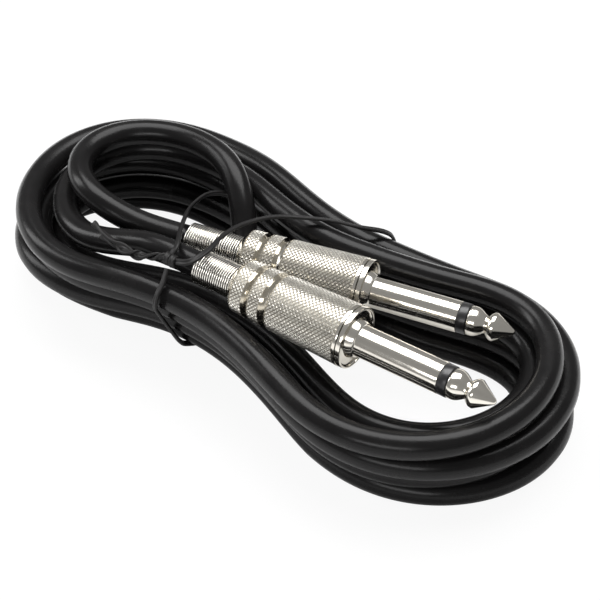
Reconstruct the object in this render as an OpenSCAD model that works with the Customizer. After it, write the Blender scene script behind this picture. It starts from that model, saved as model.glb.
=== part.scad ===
// Instrument cable: two quarter-inch mono plugs with screw-on knurled barrels and
// coil-spring strain reliefs, on a cable that is wound into a hank and tied at the waist.
// Plugs "a" and "b" share one design. Each is drawn along +Z from its flange face and then
// laid on the hank by lay_plug().

/* [Plug sleeve] */
// Diameter of the sleeve that a jack takes
sleeve_d = 6.35; // [6.2:0.01:6.45]
// Length of the sleeve from the flange face to the insulating ring
sleeve_len = 19.2; // [17:0.1:22]
// Bore of the sleeve for the insulating tube
sleeve_bore_d = 4.2; // [4:0.1:4.6]
// Diameter of the flange, flush with the barrel's front rim
flange_d = 12.7; // [12:0.1:14]
// Thickness of the flange
flange_t = 1; // [0.8:0.1:1.6]
// Diameter of the boss between flange and sleeve
boss_d = 8.2; // [7.6:0.1:9]
// Height of the boss above the flange face
boss_h = 1.4; // [1:0.1:2]
// Depth of the dish in the flange's face
dish_depth = 0.4; // [0.2:0.05:0.6]
// Diameter of the threaded collar that the barrel screws on
collar_d = 9.8; // [9.4:0.1:10.2]
// Length of the threaded collar
collar_len = 7; // [6:0.1:7.5]

/* [Plug tip] */
// Length of the insulating ring
ring_len = 1.9; // [1.2:0.1:2.6]
// Length of the tip contact beyond the ring
tip_len = 9.4; // [8.6:0.1:10.4]
// Diameter of the tip's collar, next to the ring
tip_collar_d = 6; // [5.8:0.05:6]
// Length of the tip's collar
tip_collar_len = 0.8; // [0.5:0.1:1.2]
// Diameter of the waist that the jack's spring drops into
tip_neck_d = 3.6; // [3.2:0.1:4.2]
// Distance of the waist's narrowest place from the ring
tip_neck_at = 3.5; // [2.6:0.1:4]
// Diameter of the tip's head
tip_head_d = 5.7; // [5.2:0.1:6]
// Distance of the head's widest place from the ring
tip_head_at = 6; // [5.2:0.1:6.6]
// Radius of the tip's rounded nose
nose_r = 0.7; // [0.4:0.1:1]
// Diameter of the rod that carries the tip through the sleeve
rod_d = 2.4; // [2:0.1:2.8]
// Diameter of the rod's riveted head behind the tip lug
rivet_d = 3.4; // [3.2:0.1:4]
// Thickness of the riveted head
rivet_t = 0.6; // [0.4:0.1:0.8]

/* [Barrel] */
// Length of the barrel
barrel_len = 26.4; // [25:0.1:30]
// Diameter that the barrel's taper would have at its rear end
barrel_rear_d = 10.9; // [10.6:0.1:11.6]
// Diameter of the rear end itself, where the first cone starts
rear_end_d = 8.6; // [8.4:0.1:9.4]
// Length of each of the two rear knurled bands with its cone
band_len = 4.1; // [3.4:0.1:4.4]
// Length of the smooth cone that leads up to a band
cone_len = 1.3; // [0.8:0.1:1.8]
// Length of the steep wall at the front of a band
wall_len = 0.2; // [0.15:0.05:0.4]
// Depth of the V grooves between the bands
groove_depth = 0.9; // [0.5:0.05:1]
// Length of the smooth rim at the barrel's front
rim_len = 0.7; // [0.4:0.1:1]
// Diameter of the narrow rear bore that the spring comes out of
throat_d = 7.7; // [7.5:0.05:8]
// Length of the narrow rear bore
throat_len = 9.3; // [8.8:0.1:9.8]

/* [Spring strain relief] */
// Outer diameter of the spring
spring_d = 7; // [6.9:0.05:7.1]
// Diameter of the spring's wire
wire_d = 0.5; // [0.4:0.05:0.5]
// Distance from curl to curl
curl_pitch = 0.95; // [0.92:0.01:1.1]
// Diameter of the flared curl that the barrel's shoulder traps
flare_d = 9; // [8.8:0.05:9.1]
// Length of spring standing out behind barrel a
spring_out_a = 9.5; // [7:0.5:11]
// Length of spring standing out behind barrel b
spring_out_b = 12.3; // [9:0.1:13]

/* [Wiring inside the plug] */
// Wall of the insulating liner in the barrel
liner_wall = 0.4; // [0.3:0.05:0.5]
// Thickness of the two solder lugs
lug_t = 0.5; // [0.4:0.1:0.7]
// Width of the ground lug's strap
strap_w = 3; // [2:0.1:3.4]
// Length of the clamp claws along the cable
claw_len = 2.4; // [1.8:0.1:2.6]
// Diameter of the insulating washer between the lugs
washer_d = 6.2; // [5.8:0.1:6.3]
// Thickness of the insulating washer
washer_t = 1.4; // [1:0.1:1.6]
// Distance of the jacket's cut end behind the tip lug
strip_len = 2.6; // [2.2:0.1:3]
// Diameter of the insulated core
core_d = 2.2; // [1.8:0.1:2.4]
// Diameter of the twisted shield tail
shield_d = 1.1; // [0.8:0.1:1.2]

/* [Cable and hank] */
// Outer diameter of the cable
cable_d = 5.5; // [5.3:0.1:5.5]
// Half length of the hank's guiding outline
hank_half_len = 59.5; // [58:0.5:66]
// Half width that the outline would have without its waist
hank_half_width = 44.25; // [44:0.25:48]
// Share of its width that the outline loses at the waist
waist_share = 0.61; // [0.5:0.01:0.62]
// Length along the hank over which the waist fades out
waist_spread = 45; // [40:1:46]
// Place of the waist on the hank's front side
waist_front_x = -10; // [-14:0.5:-6]
// Place of the waist on the hank's back side
waist_back_x = 1.5; // [-2:0.5:4]
// Free space from loop to loop within a layer
loop_gap = 0.95; // [0.95:0.05:1.4]
// Free space from layer to layer
layer_gap = 0.6; // [0.5:0.05:0.8]
// Outward lean of each higher layer
layer_lean = 1.9; // [1.5:0.1:2]
// Shift of each higher layer along the hank
layer_shift_x = 1.1; // [0:0.1:1.5]
// Shift of each higher layer toward the hank's front
layer_shift_y = 2.35; // [1.5:0.05:2.4]
// Height by which the tie lifts the hank at its waist
tie_lift = 2; // [1.9:0.1:2.2]
// Distance that a barrel travels back along the cable when it is unscrewed
barrel_travel = 4.8; // [3:0.1:5]

/* [Tie] */
// Diameter of the coated tie wire
tie_d = 1.3; // [1:0.1:1.3]
// Diameter of the tie's knot
knot_d = 2.6; // [2.2:0.1:3]

/* [Hidden] */
$fn = 64;

// Clearances
press_gap = 0.05;    // between pieces that are pressed or slipped over one another
thread_gap = 0.05;   // between the barrel's bore and the collar
rim_gap = 0.15;      // between the barrel's front and the flange
seat_gap = 0.3;      // between pieces that lie against one another loosely

// Stations along a plug, from its flange face
collar_back = -(flange_t + collar_len);
ground_back = collar_back - lug_t;
washer_back = ground_back - washer_t;
tip_lug_back = washer_back - lug_t;
jacket_front = tip_lug_back - strip_len;
claw_front = jacket_front - 0.4;
ring_front = sleeve_len + ring_len;
tip_end = ring_front + tip_len;
barrel_front = -(flange_t + rim_gap);
barrel_back = barrel_front - barrel_len;
shoulder = barrel_back + throat_len;
flare_at = shoulder + 1.05;
liner_back = flare_at + wire_d/2 + seat_gap;
liner_front = collar_back - seat_gap;
bore_d = collar_d + 2*thread_gap;
liner_d = bore_d - 0.4;
strap_x = washer_d/2 + 0.1;
claw_r = cable_d/2 + press_gap;

// Places on the hank are given for its usual size and move with its length, width and height
function placed(p) = [p.x*hank_half_len/59.5, p.y*hank_half_width/44.25,
    p.z*(cable_d + layer_gap)/6.1];
function placed_all(points) = [for (p = points) placed(p)];

// Where the plugs lie: flange face and heading
at_a = placed([26.9, -17.4, 26.9]);
heading_a = 2.6;
at_b = placed([17.8, -0.7, 22.5]);
heading_b = 13.4;

function unit(v) = v / norm(v);
function smooth(x) = let (s = min(1, max(0, x))) s*s*(3 - 2*s);
function barrel_r(s) = (barrel_rear_d + (flange_d - barrel_rear_d)*s/barrel_len)/2;
function on_plug(at, heading, s) = at + s*[cos(heading), sin(heading), 0];

// --- Tubes swept along points ---

function tangent(path, i) =
    unit(path[min(i + 1, len(path) - 1)] - path[max(i - 1, 0)]);

// Side directions carried along the path without twist
function side_dirs(path) = [
    for (i = 0,
            t = tangent(path, 0),
            n = unit(cross(t, abs(t.z) < 0.9 ? [0, 0, 1] : [1, 0, 0]));
        i < len(path);
        i = i + 1,
            t = i < len(path) ? tangent(path, i) : t,
            n = unit(n - t*(n*t))) n];

// Side directions kept level, for coils that lie flat
function level_dirs(path) = [for (i = [0:len(path) - 1])
    unit(cross(tangent(path, i), [0, 0, 1]))];

function ring_points(path, dirs, r, sides, flat = 1, twist = 0) = [
    for (i = [0:len(path) - 1], k = [0:sides - 1])
        let (up = cross(dirs[i], tangent(path, i)),
            a = 360*k/sides,
            c = [r*cos(a), r*flat*sin(a)],
            w = twist*i)
            path[i] + dirs[i]*(c.x*cos(w) - c.y*sin(w)) + up*(c.x*sin(w) + c.y*cos(w))];

function tube_faces(rings, sides) = concat(
    [for (k = [1:sides - 2]) [0, k + 1, k]],
    [for (i = [0:rings - 2], k = [0:sides - 1], half = [0, 1])
        let (a = i*sides + k, b = i*sides + (k + 1) % sides)
            half == 0 ? [a, b, b + sides] : [a, b + sides, a + sides]],
    [for (k = [1:sides - 2]) let (e = (rings - 1)*sides) [e, e + k, e + k + 1]]);

module tube(path, r, sides) {
    polyhedron(ring_points(path, side_dirs(path), r, sides),
        tube_faces(len(path), sides));
}

// Smooth curve through all points but the first and the last, which only aim it
function curve_through(p, steps) = concat(
    [for (i = [1:len(p) - 3], k = [0:steps - 1])
        let (t = k/steps, a = p[i - 1], b = p[i], c = p[i + 1], d = p[i + 2])
            (2*b + (c - a)*t + (2*a - 5*b + 4*c - d)*t*t + (3*b - a - 3*c + d)*t*t*t)/2],
    [p[len(p) - 2]]);

// Least distance between the tube's turns, from each point to each later stretch
function to_stretch(p, a, b) =
    let (s = min(1, max(0, (p - a)*(b - a)/((b - a)*(b - a))))) norm(p - a - s*(b - a));
function least_gap(path, d, skip) = min(
    [for (i = [0:len(path) - 1 - skip])
        min([for (j = [i + skip:max(i + skip, len(path) - 2)])
            j + 1 < len(path) ? to_stretch(path[i], path[j], path[j + 1]) : 1e3])]) - d;

// --- Hank ---

hank_rings = 24;
turns_per_layer = 1.5;
hank_turns = 5.75;
loop_step = cable_d + loop_gap;
layer_step = cable_d + layer_gap;
cut_flat = cable_d/10;
hank_at = placed([0.5, -1.7, 0]);

function outline(t) =
    let (x = hank_half_len*cos(t),
        mid = (waist_front_x + waist_back_x)/2 + (waist_back_x - waist_front_x)/2*sin(t),
        e = (x - mid)/waist_spread)
        [x, hank_half_width*sin(t)*(1 - waist_share*exp(-e*e)), 0];
function outward(t) =
    let (v = unit(outline(t + 0.01) - outline(t - 0.01))) [v.y, -v.x, 0];

// The tie lifts the hank over this stretch to both sides of the waist, and less beyond it
lift_middle = placed([-5, 0, 0]).x;
lift_half_len = placed([14, 0, 0]).x;
lift_fade = placed([22, 0, 0]).x;
function waist_lift(x) =
    tie_lift*(1 - smooth((abs(x - lift_middle) - lift_half_len)/lift_fade));

// u counts turns. The loops spiral in and out in turn, and each layer's shift comes in
// where it keeps clear of the loops beside it.
function hank_point(u) =
    let (m = turns_per_layer,
        t = 270 + 360*u,
        v = u - 2*m*floor(u/(2*m)),
        inward = abs(m - v),
        layer = smooth((u - m + 0.25)/0.5) + smooth((u - 2*m + 0.25)/0.5)
            + smooth((u - 3*m + 0.25)/0.5),
        shift = smooth((u - m + 0.25)/0.5) + smooth(u - 2*m)
            + smooth((u - 3*m + 0.1)/0.5),
        p = outline(t) + outward(t)*(layer_lean*shift - inward*loop_step)
            + shift*[layer_shift_x, -layer_shift_y, 0] + hank_at)
        [p.x, p.y, cable_d/2 - cut_flat + layer*layer_step + waist_lift(p.x)];

hank_path = [for (i = [0:round(hank_turns*hank_rings)]) hank_point(i/hank_rings)];
hank_start = hank_path[0];
hank_start_dir = tangent(hank_path, 0);
hank_end = hank_path[len(hank_path) - 1];
hank_end_dir = tangent(hank_path, len(hank_path) - 1);

// The hank's tube, its underside cut flat where it rests
hank_skin = [for (p = ring_points(hank_path, level_dirs(hank_path), cable_d/2, 6))
    [p.x, p.y, max(0, p.z)]];
hank_x = [for (p = hank_skin) p.x];
hank_y = [for (p = hank_skin) p.y];
mid = [(max(hank_x) + min(hank_x))/2, (max(hank_y) + min(hank_y))/2, 0];

echo(hank_least_gap = least_gap(hank_path, cable_d, 9));
echo(hank_box = [max(hank_x) - min(hank_x), max(hank_y) - min(hank_y)], mid = mid);

module hank() {
    color("#1b1b1d") translate(-mid)
        polyhedron(hank_skin, tube_faces(len(hank_path), 6));
}

// --- Free stretches of cable ---

// Straight behind the spring for the barrel's travel and one cable diameter
function straight_back(at, heading, out) =
    on_plug(at, heading, barrel_back - out - barrel_travel - cable_d);

route_a = placed_all([
    [-52, -14, 20.5], [-48.8, -18.9, 20.6], [-44, -22.2, 20.8], [-38, -23.2, 21.4],
    [-31.5, -22.2, 23.3], [-26, -20.3, 25.7]]);
route_b = placed_all([
    [-38, -14.2, 24.6], [-44, -14.4, 26.4], [-50, -10.8, 26.5], [-53, -4, 26.5],
    [-51, 3, 26.5], [-45.5, 7.3, 26.4], [-38, 8.2, 25], [-30.5, 6.5, 21],
    [-23, 2.5, 16], [-15, -2.5, 11], [-8, -6.5, 7.2]]);

function lead_in(at, heading, out) = [
    for (s = [0:3]) on_plug(at, heading, jacket_front)*(1 - s/4)
        + straight_back(at, heading, out)*s/4];

path_a = concat(
    lead_in(at_a, heading_a, spring_out_a),
    curve_through(concat(
        [straight_back(at_a, heading_a, spring_out_a) + 6*on_plug([0, 0, 0], heading_a, 1)],
        [straight_back(at_a, heading_a, spring_out_a)],
        [for (i = [len(route_a) - 1:-1:0]) route_a[i]],
        [hank_end, 2*hank_end - route_a[0]]), 2));
path_b = concat(
    lead_in(at_b, heading_b, spring_out_b),
    curve_through(concat(
        [straight_back(at_b, heading_b, spring_out_b) + 6*on_plug([0, 0, 0], heading_b, 1)],
        [straight_back(at_b, heading_b, spring_out_b)],
        route_b,
        [hank_start - 2*hank_start_dir, hank_start + 3*hank_start_dir]), 2),
    [hank_start]);

// End ring square to the hank's end face
function lead_skin(path, end_dir) =
    let (dirs = side_dirs(path),
        skin = ring_points(path, dirs, cable_d/2, 12),
        last = len(path) - 1,
        n = unit(dirs[last] - end_dir*(dirs[last]*end_dir)),
        up = cross(n, end_dir))
        [for (i = [0:len(skin) - 1]) i < 12*last ? skin[i]
            : path[last] + cable_d/2*(n*cos(30*(i % 12)) + up*sin(30*(i % 12)))];

module lead_a() {
    color("#1b1b1d") translate(-mid)
        polyhedron(lead_skin(path_a, -hank_end_dir), tube_faces(len(path_a), 12));
}

module lead_b() {
    color("#1b1b1d") translate(-mid)
        polyhedron(lead_skin(path_b, hank_start_dir), tube_faces(len(path_b), 12));
}

// --- Tie ---

knot_at = placed([-13.8, -23.6, 29.6]);
tie_low = tie_d/2 + 0.2;
tie_route = placed_all([
    [-15, -23.6, 28.7], [-12.8, -23.8, 29.9], [-9, -23.5, 31.5], [-8.2, -18.4, 31.7],
    [-9.7, -13.2, 30.6], [-9.7, -7, 29.7], [-7.6, 0.2, 28.2], [-3.8, 4.8, 27],
    [1.6, 8.6, 26.6], [8.3, 14.8, 24.8], [10.3, 19.6, 20.5], [9.7, 20.4, 13],
    [9, 20.1, 6], [7.6, 18.4, 2], [5, 15.4, tie_low], [-5, -0.5, tie_low],
    [-15, -15.2, tie_low], [-17.5, -18.9, 1.6], [-18.6, -23.6, 7], [-18.9, -28.4, 13.3],
    [-18.6, -33.4, 19.6], [-18, -34, 24], [-17, -31.3, 26.5], [-15.4, -27.4, 27.6],
    [-14, -24.5, 29.1], [-13.6, -23, 30.2]]);
loop_route = placed_all([
    [-14.6, -24.2, 28.2], [-14.2, -22.9, 30.4], [-14.1, -21.6, 31.3], [-15.7, -19, 31.1],
    [-19, -14.6, 29], [-21.7, -10.1, 27.8], [-25, -4.5, 25.4], [-25.7, 2, 24.4],
    [-23, 6.4, 22.6], [-21.5, 8, 19], [-21, 8.3, 14], [-20.5, 8.5, 8],
    [-20, 9, 3], [-19.4, 11, tie_low], [-18.6, 15.5, tie_low], [-18.4, 17, tie_low]]);
twist_route = placed_all([
    [-13, -23.6, 29.6], [-14.9, -23.7, 29.5], [-17, -24.1, 29.1], [-21, -25, 28],
    [-25, -25.4, 28.1], [-30, -24.6, 28], [-33.5, -23.4, 27.4], [-35, -23, 27]]);

module tie() {
    color("#161616") translate(-mid) tube(curve_through(tie_route, 2), tie_d/2, 8);
}

module tie_loop() {
    color("#161616") translate(-mid) tube(curve_through(loop_route, 2), tie_d/2, 8);
}

// The two ends twisted together: a flat section that turns by this angle from ring to ring
twist_step = 40;
module tie_twist() {
    path = curve_through(twist_route, 5);
    color("#161616") translate(-mid)
        polyhedron(ring_points(path, side_dirs(path), tie_d*0.75, 8, 0.6, twist_step),
            tube_faces(len(path), 8));
}

module tie_knot() {
    color("#161616") translate(knot_at - mid) sphere(d = knot_d);
}

// --- Plug ---

module lay_plug(at, heading) {
    translate(at - mid) rotate([0, 0, heading]) rotate([0, 90, 0]) children();
}

// Tip, rod and riveted head are one turned piece
module tip() {
    neck = tip_neck_d/2;
    collar = tip_collar_d/2;
    head = tip_head_d/2;
    color("#e4e0d6") rotate_extrude() polygon(concat(
        [[0, tip_lug_back - rivet_t], [rivet_d/2 - 0.3, tip_lug_back - rivet_t],
            [rivet_d/2, tip_lug_back - rivet_t/2], [rivet_d/2, tip_lug_back],
            [rod_d/2, tip_lug_back], [rod_d/2, ring_front], [collar - 0.1, ring_front],
            [collar, ring_front + 0.1]],
        [for (i = [0:6]) let (s = i/6)
            [neck + (collar - neck)*(1 - s)*(1 - s),
                ring_front + tip_collar_len + (tip_neck_at - tip_collar_len)*s]],
        [for (i = [1:8]) let (s = i/8)
            [neck + (head - neck)*(1 - cos(180*s))/2,
                ring_front + tip_neck_at + (tip_head_at - tip_neck_at)*s]],
        [for (a = [30:20:70]) [nose_r*cos(a), tip_end - nose_r*(1 - sin(a))]],
        [[0, tip_end]]));
}

module tip_ring() {
    color("#202020") rotate_extrude() polygon([
        [rod_d/2 + press_gap, sleeve_len], [sleeve_d/2 - press_gap, sleeve_len],
        [sleeve_d/2 - press_gap, ring_front], [rod_d/2 + press_gap, ring_front]]);
}

module insulating_tube() {
    color("#303030") rotate_extrude() polygon([
        [rod_d/2 + press_gap, ground_back], [sleeve_bore_d/2 - press_gap, ground_back],
        [sleeve_bore_d/2 - press_gap, sleeve_len], [rod_d/2 + press_gap, sleeve_len]]);
}

// Threaded collar, flange with its dished face, boss and sleeve: one turned piece
module sleeve() {
    r = sleeve_d/2;
    color("#dedad0") rotate_extrude() polygon([
        [sleeve_bore_d/2, collar_back], [collar_d/2 - 0.3, collar_back],
        [collar_d/2, collar_back + 0.3], [collar_d/2, -flange_t],
        [flange_d/2, -flange_t], [flange_d/2, -0.15], [flange_d/2 - 0.15, 0],
        [flange_d/2 - 0.5, 0], [flange_d/2 - 0.8, -dish_depth],
        [boss_d/2 + 0.2, -dish_depth], [boss_d/2, 0], [r + 0.35, boss_h - 0.15],
        [r + 0.2, boss_h], [r, boss_h + 0.15], [r, sleeve_len - 0.15],
        [r - 0.15, sleeve_len], [sleeve_bore_d/2, sleeve_len]]);
}

module rear_washer() {
    color("#4a2f20") translate([0, 0, washer_back]) difference() {
        cylinder(d = washer_d, h = washer_t);
        translate([0, 0, -1]) cylinder(r = rod_d/2 + press_gap, h = washer_t + 2);
    }
}

// Ring on the rod with a tab bent back for the core
module tip_lug() {
    r = washer_d/2 - 0.2;
    color("#c9c2a8") difference() {
        union() {
            translate([0, 0, tip_lug_back]) cylinder(r = r, h = lug_t);
            translate([-r, -1, tip_lug_back - 1.9]) cube([lug_t, 2, 1.9 + lug_t/2]);
        }
        translate([0, 0, tip_lug_back - 1]) cylinder(r = rod_d/2 + press_gap, h = lug_t + 2);
    }
}

// Ring behind the collar, strap, and claws that clamp the jacket
module ground_lug() {
    color("#c9c2a8") {
        translate([0, 0, ground_back]) difference() {
            cylinder(d = collar_d - 2, h = lug_t);
            translate([0, 0, -1]) cylinder(d = sleeve_bore_d, h = lug_t + 2);
        }
        translate([strap_x, -strap_w/2, claw_front - claw_len])
            cube([lug_t, strap_w, ground_back + lug_t/2 - claw_front + claw_len]);
        translate([0, 0, claw_front - claw_len]) difference() {
            cylinder(r = strap_x + 0.15, h = claw_len);
            translate([0, 0, -1]) cylinder(r = claw_r, h = claw_len + 2);
            translate([-6, -1.6, -1]) cube([6, 3.2, claw_len + 2]);
        }
    }
}

// Insulated core from the jacket, its conductor turned over to the tip lug's tab
module cable_core() {
    reach = washer_d/2 - 0.2 - lug_t;
    bend_at = (jacket_front + tip_lug_back - rivet_t)/2;
    color("#d8d8d8") {
        translate([0, 0, jacket_front]) cylinder(d = core_d, h = bend_at - jacket_front + 0.4);
        translate([0, 0, bend_at - 0.1]) rotate([0, -90, 0]) cylinder(d = 0.9, h = reach);
    }
}

module shield_tail() {
    color("#b87f55") translate([strap_x - shield_d/2 - press_gap, 0, jacket_front])
        cylinder(d = shield_d, h = strip_len - 0.5);
}

module liner() {
    color("#efe9dc") translate([0, 0, liner_back]) difference() {
        cylinder(d = liner_d, h = liner_front - liner_back);
        translate([0, 0, -1])
            cylinder(d = liner_d - 2*liner_wall, h = liner_front - liner_back + 2);
    }
}

// Wire radius from the axis. A curl of 8 stretches is drawn a little larger, so that its
// mean radius is the spring's.
function spring_r(v) =
    let (r = (spring_d - wire_d)/2, flared = (flare_d - wire_d)/2)
        (r + (flared - r)*(1 - smooth(v/1.2)))*2/(1 + cos(22.5));
function spring_path(out) = [
    for (i = [0:round(8*(flare_at - barrel_back + out - wire_d/2)/curl_pitch)])
        [spring_r(i/8)*cos(45*i), spring_r(i/8)*sin(45*i), flare_at - curl_pitch*i/8]];
function radial_dirs(path) = [for (i = [0:len(path) - 1])
    let (t = tangent(path, i), r = unit([path[i].x, path[i].y, 0])) unit(r - t*(r*t))];

echo(spring_least_gap = [least_gap(spring_path(spring_out_a), wire_d, 6),
    least_gap(spring_path(spring_out_b), wire_d, 6)]);

module spring(out) {
    path = spring_path(out);
    color("#d6d2c8") polyhedron(
        ring_points(path, radial_dirs(path), wire_d/2, 6), tube_faces(len(path), 6));
}

// Two short knurled bands and a long one, each led up to by a smooth cone out of a V groove
module barrel() {
    g1 = band_len + wall_len;
    g2 = g1 + band_len;
    b3 = g2 + cone_len + wall_len;
    color("#d2cec4") translate([0, 0, barrel_back]) rotate_extrude() polygon([
        [throat_d/2, 0.15], [throat_d/2 + 0.15, 0], [rear_end_d/2, 0],
        [barrel_r(cone_len), cone_len], [barrel_r(band_len), band_len],
        [barrel_r(g1) - groove_depth, g1],
        [barrel_r(g1 + cone_len), g1 + cone_len], [barrel_r(g2 - wall_len), g2 - wall_len],
        [barrel_r(g2) - groove_depth, g2], [barrel_r(b3), b3],
        [barrel_r(barrel_len - rim_len), barrel_len - rim_len],
        [flange_d/2, barrel_len - rim_len], [flange_d/2, barrel_len],
        [bore_d/2, barrel_len], [bore_d/2, throat_len], [throat_d/2, throat_len]]);
}

module tip_a() lay_plug(at_a, heading_a) tip();
module tip_ring_a() lay_plug(at_a, heading_a) tip_ring();
module insulating_tube_a() lay_plug(at_a, heading_a) insulating_tube();
module sleeve_a() lay_plug(at_a, heading_a) sleeve();
module rear_washer_a() lay_plug(at_a, heading_a) rear_washer();
module tip_lug_a() lay_plug(at_a, heading_a) tip_lug();
module ground_lug_a() lay_plug(at_a, heading_a) ground_lug();
module cable_core_a() lay_plug(at_a, heading_a) cable_core();
module shield_tail_a() lay_plug(at_a, heading_a) shield_tail();
module liner_a() lay_plug(at_a, heading_a) liner();
module spring_a() lay_plug(at_a, heading_a) spring(spring_out_a);
module barrel_a() lay_plug(at_a, heading_a) barrel();

module tip_b() lay_plug(at_b, heading_b) tip();
module tip_ring_b() lay_plug(at_b, heading_b) tip_ring();
module insulating_tube_b() lay_plug(at_b, heading_b) insulating_tube();
module sleeve_b() lay_plug(at_b, heading_b) sleeve();
module rear_washer_b() lay_plug(at_b, heading_b) rear_washer();
module tip_lug_b() lay_plug(at_b, heading_b) tip_lug();
module ground_lug_b() lay_plug(at_b, heading_b) ground_lug();
module cable_core_b() lay_plug(at_b, heading_b) cable_core();
module shield_tail_b() lay_plug(at_b, heading_b) shield_tail();
module liner_b() lay_plug(at_b, heading_b) liner();
module spring_b() lay_plug(at_b, heading_b) spring(spring_out_b);
module barrel_b() lay_plug(at_b, heading_b) barrel();

tip_a();
tip_ring_a();
insulating_tube_a();
sleeve_a();
rear_washer_a();
tip_lug_a();
ground_lug_a();
cable_core_a();
shield_tail_a();
liner_a();
spring_a();
barrel_a();
tip_b();
tip_ring_b();
insulating_tube_b();
sleeve_b();
rear_washer_b();
tip_lug_b();
ground_lug_b();
cable_core_b();
shield_tail_b();
liner_b();
spring_b();
barrel_b();
hank();
lead_a();
lead_b();
tie();
tie_loop();
tie_twist();
tie_knot();
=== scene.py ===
# Instrument cable: two quarter-inch mono plugs on a cable that is wound into a waisted
# hank and tied with wire. Sizes are in millimetres and become metres as a piece is made.
import bpy
from math import cos, exp, floor, pi, radians, sin
from mathutils import Matrix, Vector


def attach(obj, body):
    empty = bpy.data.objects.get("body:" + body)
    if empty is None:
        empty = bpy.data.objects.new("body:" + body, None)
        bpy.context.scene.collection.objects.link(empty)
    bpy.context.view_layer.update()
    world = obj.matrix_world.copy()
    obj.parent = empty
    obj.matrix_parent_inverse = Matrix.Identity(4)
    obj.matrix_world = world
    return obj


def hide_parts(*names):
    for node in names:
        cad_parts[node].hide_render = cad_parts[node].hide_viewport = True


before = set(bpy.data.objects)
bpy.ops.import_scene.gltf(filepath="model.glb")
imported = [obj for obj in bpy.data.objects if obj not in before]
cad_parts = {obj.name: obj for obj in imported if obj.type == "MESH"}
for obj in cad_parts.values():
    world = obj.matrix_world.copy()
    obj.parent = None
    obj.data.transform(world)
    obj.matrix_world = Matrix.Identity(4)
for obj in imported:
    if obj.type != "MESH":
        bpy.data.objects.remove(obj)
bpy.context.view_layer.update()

# --- Camera ---
# It stands a little to the right of the hank's front, as far off as a long lens needs, and
# looks down on the plugs.
looked_at = Vector((-0.00239, 0.0085, 0.010))
camera_turn = radians(37.4)
camera_rise = radians(41.4)
camera_distance = 0.397
away = Vector((sin(camera_turn)*cos(camera_rise), -cos(camera_turn)*cos(camera_rise),
    sin(camera_rise)))
bpy.ops.object.camera_add(location=looked_at + away*camera_distance)
camera = bpy.context.object
camera.rotation_euler = (-away).to_track_quat("-Z", "Y").to_euler()
camera.data.lens = 115.05
camera.data.sensor_width = 36
camera.data.clip_start = 0.01
bpy.context.scene.camera = camera
bpy.context.scene.view_settings.view_transform = "Standard"

# --- Cable ---
# A 5.5 mm flexible cable in a black PVC jacket, in one length from plug to plug. Most of
# it is wound into the hank: loops that spiral in and out in four layers, drawn in at the
# waist by the tie. Both ends come over the top of the hank to the plugs.
cable_d = 5.5
hank_middle = Vector((2.38628, -8.50241, 0))
hank_turns = 5.75
turns_per_layer = 1.5
half_length = 63.4
half_width = 43.75
waist_depth = 0.6
waist_reach = 45.6
waist_lift = 2
loop_pitch = 6.45
layer_rise = 6.1
climb = 0.5


def outline(t):
    """The waisted oval that the loops follow."""
    x = half_length*cos(t)
    waist_x = -3.1 + 7.6*sin(t)
    drawn_in = waist_depth*exp(-((x - waist_x)/waist_reach)**2)
    return Vector((x, half_width*sin(t)*(1 - drawn_in), 0))


def ease(x):
    """0 below x = 0, 1 above x = 1, and a soft rise between."""
    s = min(1, max(0, x))
    return s*s*(3 - 2*s)


def hank_point(u):
    """The cable's middle after u turns, which count from the front of the waist. It runs in
    and out between the outer loop and the inner one, and takes half a turn to climb a layer."""
    t = radians(270 + 360*u)
    along = (outline(t + 2e-4) - outline(t - 2e-4)).normalized()
    outward = Vector((along.y, -along.x, 0))
    m = turns_per_layer
    loops_in = abs(m - (u - 2*m*floor(u/(2*m))))
    layer = sum(ease((u - k*m)/climb + 0.5) for k in (1, 2, 3))
    # How far it has slid with the layers, which lean to the front
    shift = ease((u - m)/climb + 0.5) + ease(u - 2*m) + ease((u - 3*m + 0.1)/climb)
    p = outline(t) + outward*(1.2*shift - loops_in*loop_pitch)
    p -= Vector((1.35*cos(t), 0, 0))*shift
    p.rotate(Matrix.Rotation(radians(1)*shift, 3, "Z"))
    p += Vector((1, -2.1, 0))*shift + Vector((-1.55, -1.55, 0))
    # At the left end the lower loops stand out to the front
    p += max(0, -cos(t))**2*Vector((0.9*shift - 5.6, 2.9*shift - 2.3, 0))
    # The tie gathers the waist and lifts it
    p.z = cable_d*0.4 + layer*layer_rise + waist_lift*(1 - ease((abs(p.x + 5) - 14)/22))
    return p


def through(points, steps):
    """Smooth curve through all the points but the first and the last, which aim it."""
    line = []
    for a, b, c, d in zip(points, points[1:], points[2:], points[3:]):
        for k in range(steps):
            t = k/steps
            line.append((2*b + (c - a)*t + (2*a - 5*b + 4*c - d)*t*t
                + (3*b - a - 3*c + d)*t*t*t)/2)
    return line + [points[-2]]


def evened(line, step):
    """The same line with its points a step apart."""
    out = [line[0]]
    left = step
    for a, b in zip(line, line[1:]):
        length = (b - a).length
        at = left
        while at <= length:
            out.append(a.lerp(b, at/length))
            at += step
        left = at - length
    if (out[-1] - line[-1]).length > step/2:
        out.append(line[-1])
    return out


def line_length(line):
    return sum((b - a).length for a, b in zip(line, line[1:]))


# Each plug's flange face, its heading, and how far its spring stands out of the barrel,
# whose back lies behind the flange face and unscrews by barrel_travel
plug_at = {"a": Vector((26.9, -17.4, 26.9)), "b": Vector((17.8, -0.7, 22.5))}
plug_heading = {"a": radians(2.6), "b": radians(13.4)}
spring_out = {"a": 9.5, "b": 12.3}
barrel_back = -27.55
barrel_travel = 4.8


def on_plug(side, station):
    """A place on a plug's axis, counted forward from its flange face."""
    h = plug_heading[side]
    return plug_at[side] + station*Vector((cos(h), sin(h), 0))


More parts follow.
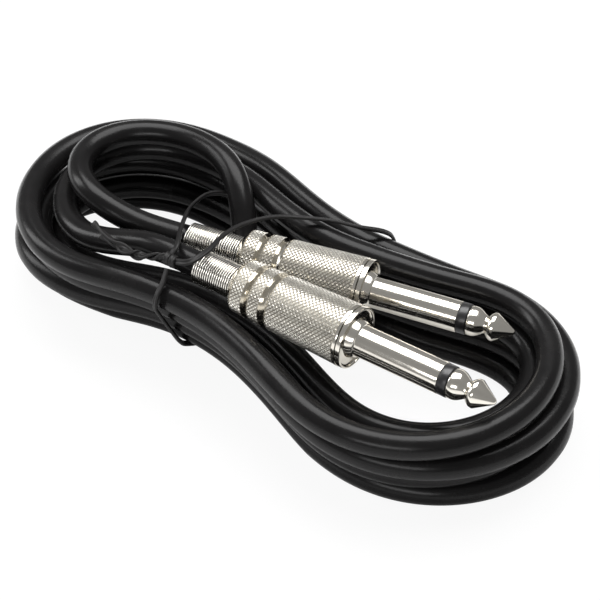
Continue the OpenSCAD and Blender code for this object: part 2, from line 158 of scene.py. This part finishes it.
# The jacket ends inside the barrel, and the cable is straight for as far as that goes back
jacket_front = -13.0
bend_start = {side: barrel_back - spring_out[side] - barrel_travel - cable_d for side in "ab"}
route_a = [Vector(p) for p in (
    (-26, -20.3, 25.7), (-32.2, -20.9, 23.3), (-39.2, -21.2, 21.4), (-45.6, -19.2, 20.8),
    (-50.7, -15.2, 20.6), (-54.4, -9.9, 20.5))]
route_b = [Vector(p) for p in (
    (-38, -14.2, 24.6), (-44.5, -14.2, 26.4), (-50.5, -10.5, 26.6), (-54, -4, 26.7),
    (-52.5, 3, 26.9), (-47, 8.5, 27.1), (-39.5, 11.2, 27.3), (-31.5, 11, 27.6), (-24.5, 8.6, 27),
    (-18.8, 4.6, 23.6), (-15, 0.6, 18.2), (-12, -3.4, 12.4), (-7, -7.4, 7.4))]
hank_steps = 690
lead_steps = 20
hank_line = [hank_point(hank_turns*i/hank_steps) for i in range(hank_steps + 1)]
start_way = (hank_line[1] - hank_line[0]).normalized()


def lead(side, route):
    """Straight out of the plug from the jacket's front, then along the route's curve."""
    straight = [on_plug(side, jacket_front + (bend_start[side] - jacket_front)*k/lead_steps)
        for k in range(lead_steps)]
    aim = [on_plug(side, bend_start[side] + 6), on_plug(side, bend_start[side])]
    return straight + through(aim + route, 12)


lead_a = lead("a", route_a + [hank_line[-1], 2*hank_line[-1] - route_a[-1]])
lead_b = lead("b", route_b + [hank_line[0] - 2*start_way, hank_line[0] + 3*start_way])
cable_step = 1.2
fixed = 12
cable_line = evened(lead_a + hank_line[-2:0:-1] + lead_b[::-1], cable_step)
for repeat in range(12):
    cable_line[fixed:-fixed] = [(a + 2*b + c)/4 for a, b, c in
        zip(cable_line[fixed - 1:], cable_line[fixed:-fixed], cable_line[fixed + 1:])]
# It rests on the floor and, wound by hand, wanders a little from its neat place
for i, p in enumerate(cable_line):
    far = min(1, max(0, min(i, len(cable_line) - 1 - i) - 40)/60)
    p.z += far*(0.12*sin(i*0.071) + 0.1*sin(i*0.0413 + 1))
    p.x += far*0.15*sin(i*0.053 + 2)
    p.y += far*0.15*sin(i*0.0607 + 4)
    p.z = max(p.z, cable_d/2)

cable_curve = bpy.data.curves.new("cable", "CURVE")
cable_curve.dimensions = "3D"
cable_curve.bevel_depth = cable_d/2000
cable_curve.bevel_resolution = 5
cable_curve.use_fill_caps = True
spline = cable_curve.splines.new("POLY")
spline.points.add(len(cable_line) - 1)
for point, p in zip(spline.points, cable_line):
    point.co = (*((p - hank_middle)/1000), 1)
cable = bpy.data.objects.new("cable", cable_curve)
bpy.context.collection.objects.link(cable)
bpy.ops.object.select_all(action="DESELECT")
bpy.context.view_layer.objects.active = cable
cable.select_set(True)
bpy.ops.object.convert(target="MESH")
cable = bpy.context.object
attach(cable, "cable")
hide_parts("hank", "lead_a", "lead_b")


class Value:
    """A node's output in a tree. Reckoning with it adds the Math node."""

    def __init__(self, nodes, socket):
        self.nodes = nodes
        self.socket = socket

    def reckon(self, operation, first, second):
        return self.nodes.node("Math", {"operation": operation}, {0: first, 1: second})

    def __add__(self, other):
        return self.reckon("ADD", self, other)

    def __radd__(self, other):
        return self.reckon("ADD", other, self)

    def __sub__(self, other):
        return self.reckon("SUBTRACT", self, other)

    def __rsub__(self, other):
        return self.reckon("SUBTRACT", other, self)

    def __mul__(self, other):
        return self.reckon("MULTIPLY", self, other)

    def __rmul__(self, other):
        return self.reckon("MULTIPLY", other, self)

    def __truediv__(self, other):
        return self.reckon("DIVIDE", self, other)

    def __rtruediv__(self, other):
        return self.reckon("DIVIDE", other, self)


class Nodes:
    """A node tree; node() adds a node with its settings and inputs and gives an output."""

    def __init__(self, tree):
        self.tree = tree

    def node(self, kind, settings, inputs, output=0):
        node = self.tree.nodes.new("ShaderNode" + kind)
        for name, value in settings.items():
            setattr(node, name, value)
        for socket, value in inputs.items():
            if isinstance(value, Value):
                self.tree.links.new(value.socket, node.inputs[socket])
            else:
                node.inputs[socket].default_value = value
        return Value(self, node.outputs[output])


class Finish(Nodes):
    """A material with its shader, and what varies it over the surface."""

    def __init__(self, name, constants):
        self.material = bpy.data.materials.new(name)
        self.material.use_nodes = True
        super().__init__(self.material.node_tree)
        self.shader = self.tree.nodes["Principled BSDF"]
        for socket, value in constants.items():
            self.shader.inputs[socket].default_value = value

    def place(self):
        return self.node("TexCoord", {}, {}, "Object")

    def noise(self, where, scale, detail=2):
        return self.node("TexNoise", {}, {"Vector": where, "Scale": scale, "Detail": detail})

    def colours(self, factor, first, second):
        return self.node("Mix", {"data_type": "RGBA"},
            {0: factor, 6: (*first, 1), 7: (*second, 1)}, 2)

    def feed(self, socket, value):
        self.tree.links.new(value.socket, self.shader.inputs[socket])

    def bump(self, strength, distance, height):
        self.feed("Normal", self.node("Bump", {},
            {"Strength": strength, "Distance": distance, "Height": height}))

    def on(self, *pieces):
        for piece in pieces:
            piece.data.materials.clear()
            piece.data.materials.append(self.material)


# Soft black PVC: an even gloss from the extruder, dulled in patches by handling
jacket = Finish("black_pvc_jacket", {"IOR": 1.5, "Specular IOR Level": 0.16})
jacket_place = jacket.place()
handled = jacket.noise(jacket_place, 160, 4)
extruded = jacket.noise(jacket_place, 2200)
jacket.feed("Base Color", jacket.colours(handled,
    (0.0045, 0.0043, 0.0045), (0.009, 0.0085, 0.0085)))
jacket.feed("Roughness", 0.15 + 0.2*handled)
jacket.bump(0.12, 0.00012, extruded + 2*handled)
jacket.on(cable)

# --- Turned plug parts: sleeve with flange and collar, insulating ring, tip ---
# They are turned from brass and nickel plated. The sleeve, the dished flange, and the
# threaded collar for the barrel are one piece. The tip's rod runs through the sleeve in
# an insulating tube, and a black ring parts the tip from the sleeve.


def turned(name, profile, sides=96):
    """Turns a piece about Z: a ring is extruded and resized from station to station."""
    bpy.ops.object.select_all(action="DESELECT")
    station, radius = profile[0]
    bpy.ops.mesh.primitive_circle_add(vertices=sides, radius=radius/1000,
        location=(0, 0, station/1000))
    piece = bpy.context.object
    piece.name = name
    bpy.ops.object.mode_set(mode="EDIT")
    for next_station, next_radius in profile[1:]:
        bpy.ops.mesh.extrude_region_move(TRANSFORM_OT_translate={
            "value": (0, 0, (next_station - station)/1000)})
        share = next_radius/radius
        bpy.ops.transform.resize(value=(share, share, 1), center_override=(0, 0, 0))
        station, radius = next_station, next_radius
    bpy.ops.mesh.select_all(action="SELECT")
    bpy.ops.mesh.remove_doubles(threshold=2e-6)
    bpy.ops.mesh.normals_make_consistent(inside=False)
    bpy.ops.object.mode_set(mode="OBJECT")
    bpy.ops.object.shade_smooth_by_angle(angle=radians(32))
    return piece


def lay(piece, side):
    """Puts a piece made about Z into its plug's place."""
    place = (Matrix.Translation((plug_at[side] - hank_middle)/1000)
        @ Matrix.Rotation(plug_heading[side], 4, "Z") @ Matrix.Rotation(pi/2, 4, "Y"))
    bpy.ops.object.select_all(action="DESELECT")
    piece.select_set(True)
    bpy.context.view_layer.objects.active = piece
    bpy.ops.object.transform_apply(location=True, rotation=True, scale=True)
    piece.matrix_world = place
    bpy.ops.object.transform_apply(location=True, rotation=True, scale=True)


def along_plug(finish, side):
    """Object coordinates turned so that X runs along the plug from its flange face."""
    return finish.node("Mapping", {"vector_type": "TEXTURE"}, {
        "Vector": finish.place(),
        "Location": (plug_at[side] - hank_middle)/1000,
        "Rotation": (0, 0, plug_heading[side])})


def off_axis(finish, place):
    """How far a place is from the plug's axis."""
    across = finish.node("VectorMath", {"operation": "MULTIPLY"}, {0: place, 1: (0, 1, 1)})
    return finish.node("VectorMath", {"operation": "LENGTH"}, {0: across}, "Value")


def nickel(side):
    """Nickel plate over turning marks that run round the piece, lightly fingered."""
    finish = Finish("polished_nickel_" + side,
        {"Metallic": 1, "Specular Tint": (1, 0.98, 0.94, 1)})
    place = along_plug(finish, side)
    ringed = finish.node("Mapping", {"vector_type": "POINT"},
        {"Vector": place, "Scale": (9000, 60, 60)})
    marks = finish.noise(ringed, 1, 2)
    fingered = finish.noise(place, 420, 3)
    finish.feed("Base Color", finish.colours(fingered, (0.80, 0.77, 0.70), (0.68, 0.645, 0.58)))
    finish.feed("Roughness", 0.07 + 0.15*fingered)
    finish.bump(0.25, 0.000006, marks)
    return finish


# Glossy black phenolic of the ring
ring_black = Finish("black_ring_plastic", {"IOR": 1.5})
ring_cloud = ring_black.noise(ring_black.place(), 900, 3)
ring_black.feed("Base Color", ring_black.colours(ring_cloud,
    (0.008, 0.008, 0.009), (0.016, 0.015, 0.015)))
ring_black.feed("Roughness", 0.24 + 0.16*ring_cloud)

# Profiles as stations and radii, counted forward from the flange face
sleeve_profile = [
    (-8, 2.1), (-8, 4.25), (-7.75, 4.5), (-1.05, 4.5), (-1, 4.55), (-1, 6.2), (-0.92, 6.3),
    (-0.2, 6.3), (-0.06, 6.24), (0, 6.1), (0, 5.95), (-0.06, 5.82), (-0.35, 5.7), (-0.45, 5.55),
    (-0.45, 4.2), (-0.4, 4.08), (-0.25, 4), (0.1, 3.9), (0.9, 3.56), (1.04, 3.48), (1.12, 3.38),
    (1.16, 3.26), (1.24, 3.19), (1.4, 3.175), (19.03, 3.175), (19.12, 3.15), (19.18, 3.1),
    (19.2, 3.02), (19.2, 2.1), (-8, 2.1)]
neck = 1.8
head = 2.85
tip_profile = [(-11, 0.001), (-11, 1.4), (-10.7, 1.7), (-10.4, 1.7), (-10.4, 1.2), (21.1, 1.2),
    (21.1, 2.8), (21.2, 2.9), (21.4, 2.97), (21.7, 3.0), (22, 3.0)]
tip_profile += [(22 + 2.4*k/10, neck + 0.1 + (2.9 - neck)*cos(pi/2*k/10)) for k in range(1, 11)]
tip_profile += [(24.6, neck + 0.02)]
tip_profile += [(24.7 + 1.5*k/10, neck + (head - neck)*sin(pi/2*k/10)) for k in range(11)]
tip_profile += [(26.5, 2.86), (26.62, 2.8)]
tip_profile += [(30.5 - 0.7*(1 - sin(radians(a))), 0.7*cos(radians(a))) for a in (33, 48, 62, 76)]
tip_profile += [(30.5, 0.0001)]
ring_profile = [(19.2, 1.25), (19.2, 3.0), (19.26, 3.08), (19.36, 3.12), (20.94, 3.12),
    (21.04, 3.08), (21.1, 3.0), (21.1, 1.25), (19.2, 1.25)]

thread_pitch = 1.0
plug_pieces = {"a": [], "b": []}
nickel_of = {}
for side in "ab":
    nickel_of[side] = nickel(side)
    sleeve = turned("plug_sleeve_" + side, sleeve_profile, 128)
    # The collar's thread, screwed up from a small triangle
    bpy.ops.mesh.primitive_circle_add(vertices=3, radius=0.00038, rotation=(pi/2, pi/2, 0),
        location=(0.00469, 0, -0.0073))
    thread = bpy.context.object
    bpy.ops.object.transform_apply(location=True, rotation=True, scale=True)
    screw = thread.modifiers.new("screw", "SCREW")
    screw.iterations = 5
    screw.screw_offset = thread_pitch/1000
    screw.steps = screw.render_steps = 48
    bpy.ops.object.modifier_apply(modifier="screw")
    bpy.ops.object.mode_set(mode="EDIT")
    bpy.ops.mesh.select_all(action="SELECT")
    bpy.ops.mesh.fill_holes(sides=4)
    bpy.ops.mesh.normals_make_consistent(inside=False)
    bpy.ops.object.mode_set(mode="OBJECT")
    sleeve.select_set(True)
    bpy.context.view_layer.objects.active = sleeve
    bpy.ops.object.join()
    tip = turned("plug_tip_" + side, tip_profile, 96)
    ring = turned("insulating_ring_" + side, ring_profile, 96)
    for piece, node, slot in ((sleeve, "sleeve_", "plug_metal"), (tip, "tip_", "tip_metal"),
            (ring, "tip_ring_", "black_insulator")):
        lay(piece, side)
        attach(piece, "cable")
        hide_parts(node + side)
        plug_pieces[side].append(piece)
    nickel_of[side].on(sleeve, tip)
    ring_black.on(ring)

# --- Barrels ---
# A turned and nickel plated shell that screws on the collar. Two short bands and a long
# one carry a diamond knurl; a smooth cone out of a V groove leads up to each of them, and
# a plain rim closes the front.
barrel_len = 26.4
knurl_depth = 0.2
diamond_edge = 0.17
# Where each band starts and ends, counted from the barrel's back, and its rows of diamonds
bands = [(1.3, 4.1, 3), (5.6, 8.2, 3), (9.9, 25.7, 18)]


def barrel_r(s):
    """The tapered outside's radius over the knurl."""
    return 5.45 + 0.9*s/barrel_len


def sunk(s, depth):
    """A profile's point that lies a depth below the tapered outside."""
    return s, barrel_r(s) - depth


def select_edges(mesh, wanted):
    """Selects the edges for which wanted is true, from object mode."""
    for part in (mesh.polygons, mesh.edges, mesh.vertices):
        part.foreach_set("select", [False]*len(part))
    mesh.edges.foreach_set("select", [wanted(e) for e in mesh.edges])


def knurl(start, end, rows, around=40):
    """A band of raised diamonds: a tube's faces are poked, the tube's own edges dissolved,
    and each diamond between them inset and raised."""
    bpy.ops.object.select_all(action="DESELECT")
    radius = barrel_r(start) - knurl_depth
    bpy.ops.mesh.primitive_circle_add(vertices=around, radius=radius/1000,
        location=(0, 0, start/1000))
    band = bpy.context.object
    bpy.ops.object.mode_set(mode="EDIT")
    for row in range(rows):
        bpy.ops.mesh.extrude_region_move(TRANSFORM_OT_translate={
            "value": (0, 0, (end - start)/rows/1000)})
        next_radius = barrel_r(start + (end - start)*(row + 1)/rows) - knurl_depth
        share = next_radius/radius
        bpy.ops.transform.resize(value=(share, share, 1), center_override=(0, 0, 0))
        radius = next_radius
    corners = around*(rows + 1)
    bpy.ops.mesh.select_all(action="SELECT")
    bpy.ops.mesh.normals_make_consistent(inside=False)
    bpy.ops.mesh.poke()
    bpy.ops.object.mode_set(mode="OBJECT")
    top = (end - start)/1000 - 1e-6
    mesh = band.data
    select_edges(mesh, lambda e: max(e.vertices) < corners
        and not all(mesh.vertices[v].co.z < 1e-6 or mesh.vertices[v].co.z > top
            for v in e.vertices))
    bpy.ops.object.mode_set(mode="EDIT")
    bpy.ops.mesh.dissolve_edges(use_verts=False)
    bpy.ops.mesh.select_all(action="SELECT")
    bpy.ops.mesh.inset(use_individual=True, thickness=diamond_edge/1000,
        depth=knurl_depth/1000)
    bpy.ops.object.mode_set(mode="OBJECT")
    return band


def knurled_nickel(side):
    """Nickel that is bright on the diamonds' faces, and duller between them, where painted shade
    darkens it.
    """
    finish = Finish("knurled_nickel_" + side, {"Metallic": 1})
    place = along_plug(finish, side)
    station = finish.node("SeparateXYZ", {}, {0: place}, "X")
    # 0 at the knurl's root, which follows the taper, and 1 on top of it
    front_root = 0.00619
    taper = 0.034
    root_to_top = 0.00016
    raised = (off_axis(finish, place) - front_root - (station + 0.00185)*taper)/root_to_top
    raised = finish.node("Clamp", {}, {0: raised})
    worn = finish.noise(place, 500, 3)
    # Painted shade: the colour goes dark towards the knurl's root and bright on top, varied at
    # random by wear
    finish.feed("Base Color", finish.colours(raised*(0.75 + 0.4*worn),
        (0.42, 0.40, 0.36), (0.90, 0.87, 0.80)))
    finish.feed("Roughness", 0.34 - 0.16*raised + 0.1*worn)
    finish.bump(0.2, 0.00001, worn)
    return finish


# Under the bands the shell lies a little below their roots
low = knurl_depth + 0.03
barrel_profile = [(0.15, 3.85), (0, 4.0), (0, 4.2), (0.05, 4.32), sunk(1.2, 0.05), sunk(1.28, 0),
    sunk(1.34, low), sunk(4.06, low), sunk(4.1, 0.05), sunk(4.16, 0.3), sunk(4.3, 0.86),
    sunk(4.36, 0.86), sunk(5.5, 0.05), sunk(5.58, 0), sunk(5.64, low), sunk(8.16, low),
    sunk(8.2, 0.05), sunk(8.26, 0.3), sunk(8.4, 0.86), sunk(8.46, 0.86), sunk(9.8, 0.05),
    sunk(9.88, 0), sunk(9.94, low), sunk(25.66, low), (25.72, 6.3), (25.78, 6.35), (26.28, 6.35),
    (26.36, 6.32), (barrel_len, 6.24), (barrel_len, 4.95), (9.3, 4.95), (9.3, 3.85), (0.15, 3.85)]
for side in "ab":
    barrel = turned("barrel_" + side, barrel_profile, 128)
    barrel.data.materials.append(nickel_of[side].material)
    knurls = [knurl(*band) for band in bands]
    finish = knurled_nickel(side)
    for band in knurls:
        band.data.materials.append(finish.material)
    bpy.ops.object.select_all(action="DESELECT")
    for piece in [barrel] + knurls:
        piece.select_set(True)
    bpy.context.view_layer.objects.active = barrel
    bpy.ops.object.join()
    barrel.name = "knurled_barrel_" + side
    for vertex in barrel.data.vertices:
        vertex.co.z += barrel_back/1000
    lay(barrel, side)
    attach(barrel, "barrel_body_" + side)
    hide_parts("barrel_" + side)
    plug_pieces[side].append(barrel)

# --- Springs ---
# Close-wound nickel plated wire, which keeps the cable from kinking behind the barrel.
# Its front curl flares, and the barrel's inner shoulder traps it.
wire_d = 0.42
spring_r = 3.5
curl_pitch = 0.51
flare_len = 1.1
for side in "ab":
    front = barrel_back + 10.35
    length = front - (barrel_back - spring_out[side]) - wire_d
    bpy.ops.object.select_all(action="DESELECT")
    bpy.ops.mesh.primitive_circle_add(vertices=10, radius=wire_d/2000,
        rotation=(pi/2, 0, 0), location=((spring_r - wire_d/2)/1000, 0, (front - wire_d/2)/1000))
    spring = bpy.context.object
    spring.name = "strain_relief_spring_" + side
    bpy.ops.object.transform_apply(location=True, rotation=True, scale=True)
    screw = spring.modifiers.new("screw", "SCREW")
    screw.iterations = round(length/curl_pitch)
    screw.screw_offset = -length/screw.iterations/1000
    screw.steps = screw.render_steps = 28
    screw.use_smooth_shade = True
    bpy.ops.object.modifier_apply(modifier="screw")
    bpy.ops.object.mode_set(mode="EDIT")
    bpy.ops.mesh.select_all(action="SELECT")
    bpy.ops.mesh.fill_holes(sides=10)
    bpy.ops.mesh.normals_make_consistent(inside=False)
    bpy.ops.object.mode_set(mode="OBJECT")
    for vertex in spring.data.vertices:
        flare = 1 + 0.31*ease(1 - (front - vertex.co.z*1000)/flare_len)
        vertex.co.x *= flare
        vertex.co.y *= flare
    lay(spring, side)
    finish = Finish("spring_wire_" + side, {"Metallic": 1})
    place = along_plug(finish, side)
    drawn = finish.noise(place, 700, 3)
    # 0 down between the curls, 1 on the wire's crest; the colour there is painted shade, dark
    # between the curls
    between_curls = 0.00332
    crest = finish.node("Clamp", {}, {0: (off_axis(finish, place) - between_curls)/0.00014})
    finish.feed("Base Color", finish.colours(crest*(0.8 + 0.3*drawn),
        (0.10, 0.095, 0.09), (0.86, 0.83, 0.77)))
    finish.feed("Roughness", 0.16 + 0.18*drawn)
    finish.on(spring)
    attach(spring, "relief_" + side)
    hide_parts("spring_" + side)
    plug_pieces[side].append(spring)

# --- Pieces inside the plugs ---
# Insulating tube, fibre washer, tinned lugs, the cable's core and twisted shield, and the
# barrel's liner. They are plain pieces that the barrel covers.


def plain(name, first, second, metallic, roughness, scale):
    """A finish that varies softly from the first colour to the second."""
    finish = Finish(name, {"Metallic": metallic})
    cloud = finish.noise(finish.place(), scale, 3)
    finish.feed("Base Color", finish.colours(cloud, first, second))
    finish.feed("Roughness", roughness + 0.2*cloud)
    finish.bump(0.2, 0.00003, cloud)
    return finish


inner_finish = {
    "insulating_tube": plain("tube_plastic", (0.02, 0.02, 0.02), (0.04, 0.038, 0.036), 0, 0.3, 700),
    "rear_washer": plain("vulcanised_fibre", (0.20, 0.10, 0.06), (0.28, 0.15, 0.09), 0, 0.55, 1500),
    "tip_lug": plain("tinned_lug", (0.70, 0.68, 0.60), (0.55, 0.52, 0.43), 1, 0.25, 900),
    "cable_core": plain("core_insulation", (0.78, 0.77, 0.74), (0.68, 0.66, 0.62), 0, 0.4, 600),
    "shield_tail": plain("bare_copper", (0.75, 0.42, 0.26), (0.55, 0.27, 0.16), 1, 0.3, 2500),
    "liner": plain("liner_paper", (0.86, 0.83, 0.76), (0.76, 0.72, 0.64), 0, 0.6, 1100)}
inner_finish["ground_lug"] = inner_finish["tip_lug"]
for side in "ab":
    for node, finish in inner_finish.items():
        finish.on(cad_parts[f"{node}_{side}"])

# The cable is one length from plug a to plug b
(on_plug("a", jacket_front) - hank_middle)/1000
line_length(cable_line)/1000
[(p - hank_middle)/1000 for p in cable_line]

# --- Tie ---
# Thin iron wire in a black plastic coat with two ribs. The long strand goes round the
# waist and back over the springs, the short one round the back loops, and both ends are
# twisted together on the front bundle.
rib_r = 0.36
rib_out = 0.33
tie_section = [(rib_out + rib_r*cos(radians(a)), rib_r*sin(radians(a)))
    for a in range(-125, 126, 25)]
tie_section += [(-rib_out + rib_r*cos(radians(a)), rib_r*sin(radians(a)))
    for a in range(55, 306, 25)]


def ribbed(name, line, face):
    """Sweeps the two-ribbed section along a line. face(i, p) is the way its flat side looks."""
    corners = []
    sides = len(tie_section)
    turning = 0.35
    last_across = None
    for i, p in enumerate(line):
        way = (line[min(i + 1, len(line) - 1)] - line[max(i - 1, 0)]).normalized()
        out = face(i, p)
        across = way.cross(out).normalized()
        if last_across is not None:
            across = (across*turning + last_across*(1 - turning)).normalized()
            across = (across - way*across.dot(way)).normalized()
        last_across = across
        up = across.cross(way)
        corners += [(p + across*x + up*y - hank_middle)/1000 for x, y in tie_section]
    faces = [(i*sides + k, i*sides + (k + 1) % sides, (i + 1)*sides + (k + 1) % sides,
        (i + 1)*sides + k) for i in range(len(line) - 1) for k in range(sides)]
    faces += [tuple(range(sides - 1, -1, -1)), tuple(range(len(corners) - sides, len(corners)))]
    mesh = bpy.data.meshes.new(name)
    mesh.from_pydata(corners, [], faces)
    strand = bpy.data.objects.new(name, mesh)
    bpy.context.collection.objects.link(strand)
    bpy.ops.object.select_all(action="DESELECT")
    strand.select_set(True)
    bpy.context.view_layer.objects.active = strand
    bpy.ops.object.mode_set(mode="EDIT")
    bpy.ops.mesh.select_all(action="SELECT")
    bpy.ops.mesh.normals_make_consistent(inside=False)
    bpy.ops.object.mode_set(mode="OBJECT")
    bpy.ops.object.shade_smooth_by_angle(angle=radians(50))
    return strand


def smoothed(points, steps, repeats):
    """A curve through the points that is then evened out as often as repeats says."""
    line = through([Vector(p) for p in points], steps)
    for repeat in range(repeats):
        line[1:-1] = [(a + 2*b + c)/4 for a, b, c in zip(line, line[1:-1], line[2:])]
    return line


waist_middle = Vector((-4, -4, 15))
tie_route = [
    (-15, -23.6, 28.7), (-12.8, -23.8, 29.9), (-9, -23.5, 31.5), (-8.2, -18.4, 31.7),
    (-9.7, -13.2, 30.6), (-9.7, -7, 29.7), (-7.6, 0.2, 28.2), (-3.8, 4.8, 27),
    (1.6, 8.6, 26.4), (6.5, 11.5, 25.2), (9.6, 15.8, 22.8), (10.4, 18.4, 19.4),
    (10.4, 18.7, 13), (9.9, 19.3, 7), (9, 18, 3.4), (7.5, 14, 1.2), (3, 8, 0.85),
    (-5, -0.5, 0.85), (-13, -12.5, 0.85), (-16.2, -17, 1.2), (-16.6, -19.4, 3.4),
    (-14.8, -24.4, 11.8), (-13.1, -29.2, 20.2), (-12.7, -30.3, 22.6), (-12.8, -29.4, 24.9),
    (-13.2, -27, 26.4), (-13.8, -24.8, 28.2), (-13.6, -23, 30.2)]
loop_route = [
    (-14.6, -24.2, 28.2), (-14.2, -22.9, 30.4), (-14.1, -21.6, 31.3), (-15.7, -19, 31.1),
    (-19, -14.6, 29), (-21.7, -10.1, 27.8), (-25, -4.5, 25.4), (-25.7, 2, 24.4),
    (-23, 6.4, 22.6), (-21.5, 8, 19), (-21, 8.3, 14), (-20.5, 8.5, 8),
    (-20, 9, 3), (-19.4, 11, 0.85), (-18.6, 15.5, 0.85), (-18.4, 17, 0.85)]
strand = ribbed("tie_strand", smoothed(tie_route, 10, 6), lambda i, p: p - waist_middle)
short_strand = ribbed("tie_short_strand", smoothed(loop_route, 10, 6),
    lambda i, p: p - waist_middle)

# The twisted ends: two strands wound round each other that part at the far end
twist_route = [
    (-12, -23.6, 29.6), (-13.4, -23.6, 29.6), (-14.9, -23.7, 29.5), (-17, -24.1, 29.1),
    (-21, -25, 28), (-25, -25.4, 28.1), (-30, -24.6, 28), (-33.5, -23.4, 27.4), (-35, -23, 27)]
twist_line = smoothed(twist_route, 12, 4)
twist_turns = 3.2
parting = 0.72
ends = []
for number, half_turn in enumerate((0, pi)):
    line = []
    for i, p in enumerate(twist_line):
        share = i/(len(twist_line) - 1)
        way = twist_line[min(i + 1, len(twist_line) - 1)] - twist_line[max(i - 1, 0)]
        level = way.cross(Vector((0, 0, 1))).normalized()
        turn = half_turn + 2*pi*twist_turns*min(share, parting)
        apart = 0.42 + 1.5*max(0, share - parting)/(1 - parting)
        line.append(p + apart*(level*cos(turn) + level.cross(way.normalized())*sin(turn)))
    ends.append(ribbed(f"twisted_end_{number + 1}", line,
        lambda i, p: Vector((sin(i*0.22), 0.3, cos(i*0.22)))))

# The knot: just over a turn and a half of the wire drawn tight round both strands
knot_at = Vector((-13.8, -23.6, 29.6))
knot_turns = 1.6
knot_steps = 45
knot_line = []
for i in range(knot_steps + 1):
    turn = 2*pi*knot_turns*i/knot_steps
    knot_line.append(knot_at + Vector((-1.1 + 2.2*i/knot_steps, 1.05*cos(turn), 0.95*sin(turn))))
knot = ribbed("tie_knot_turns", knot_line,
    lambda i, p: Vector((0, p.y - knot_at.y, p.z - knot_at.z)))

coat = Finish("black_tie_coat", {"IOR": 1.48, "Specular IOR Level": 0.22})
coat_cloud = coat.noise(coat.place(), 1200, 3)
coat.feed("Base Color", coat.colours(coat_cloud, (0.006, 0.006, 0.006), (0.013, 0.012, 0.012)))
coat.feed("Roughness", 0.34 + 0.2*coat_cloud)
coat.bump(0.2, 0.00004, coat_cloud)
coat.on(strand, short_strand, knot, *ends)
for piece, nodes in ((strand, ["tie"]), (short_strand, ["tie_loop"]), (knot, ["tie_knot"]),
        (ends[0], ["tie_twist"]), (ends[1], [])):
    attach(piece, "cable")
    if nodes:
        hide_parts(*nodes)

# --- Floor, world and lamps ---
# A white studio floor that keeps the hank's soft shadow, and three soft lamps. The camera
# sees floor and backdrop white, while the light that they throw back is dim.
bpy.ops.mesh.primitive_plane_add(size=6, location=(0, 0, 0))
studio_floor = bpy.context.object
studio_floor.name = "studio_floor"
paper = Finish("white_paper", {"Base Color": (0.82, 0.82, 0.82, 1), "Roughness": 0.9,
    "Specular IOR Level": 0.1})


def seen(nodes):
    """1 for what the camera or glass shows, a share of it for what a gloss shows, and 0 for
    light that bounces."""
    camera_ray = nodes.node("LightPath", {}, {}, "Is Camera Ray")
    rays = camera_ray.socket.node
    glossy = Value(nodes, rays.outputs["Is Glossy Ray"])
    clear = Value(nodes, rays.outputs["Is Transmission Ray"])
    return camera_ray + 0.2*glossy + clear


floor_glow = 0.92
glow = paper.node("Emission", {}, {"Color": (1, 1, 1, 1), "Strength": 1})
shown = paper.node("MixShader", {}, {0: floor_glow*seen(paper)})
paper.tree.links.new(paper.shader.outputs[0], shown.socket.node.inputs[1])
paper.tree.links.new(glow.socket, shown.socket.node.inputs[2])
paper.tree.links.new(shown.socket, paper.tree.nodes["Material Output"].inputs[0])
paper.on(studio_floor)

world = bpy.data.worlds.new("studio")
bpy.context.scene.world = world
world.use_nodes = True
sky = Nodes(world.node_tree)
backdrop = sky.tree.nodes["Background"]
backdrop.inputs["Color"].default_value = (0.14, 0.14, 0.14, 1)
white = sky.node("Background", {}, {"Color": (1, 1, 1, 1), "Strength": 1})
both = sky.node("MixShader", {}, {0: seen(sky)})
sky.tree.links.new(backdrop.outputs[0], both.socket.node.inputs[1])
sky.tree.links.new(white.socket, both.socket.node.inputs[2])
sky.tree.links.new(both.socket, sky.tree.nodes["World Output"].inputs[0])


def lamp(name, place, size, power):
    """An area lamp that faces the middle of the floor."""
    bpy.ops.object.light_add(type="AREA", location=place)
    light = bpy.context.object
    light.name = name
    light.data.shape = "RECTANGLE"
    light.data.size, light.data.size_y = size
    light.data.energy = power
    light.rotation_euler = (-Vector(place)).to_track_quat("-Z", "Y").to_euler()


lamp("lamp_above", (-0.1, 0.2, 0.8), (0.9, 0.6), 13)
lamp("lamp_front", (0.25, -0.75, 0.35), (0.6, 0.2), 2.5)
lamp("lamp_left", (-0.7, -0.25, 0.4), (0.25, 0.5), 3)

# The scene is brought up to date at the end
bpy.context.view_layer.update()
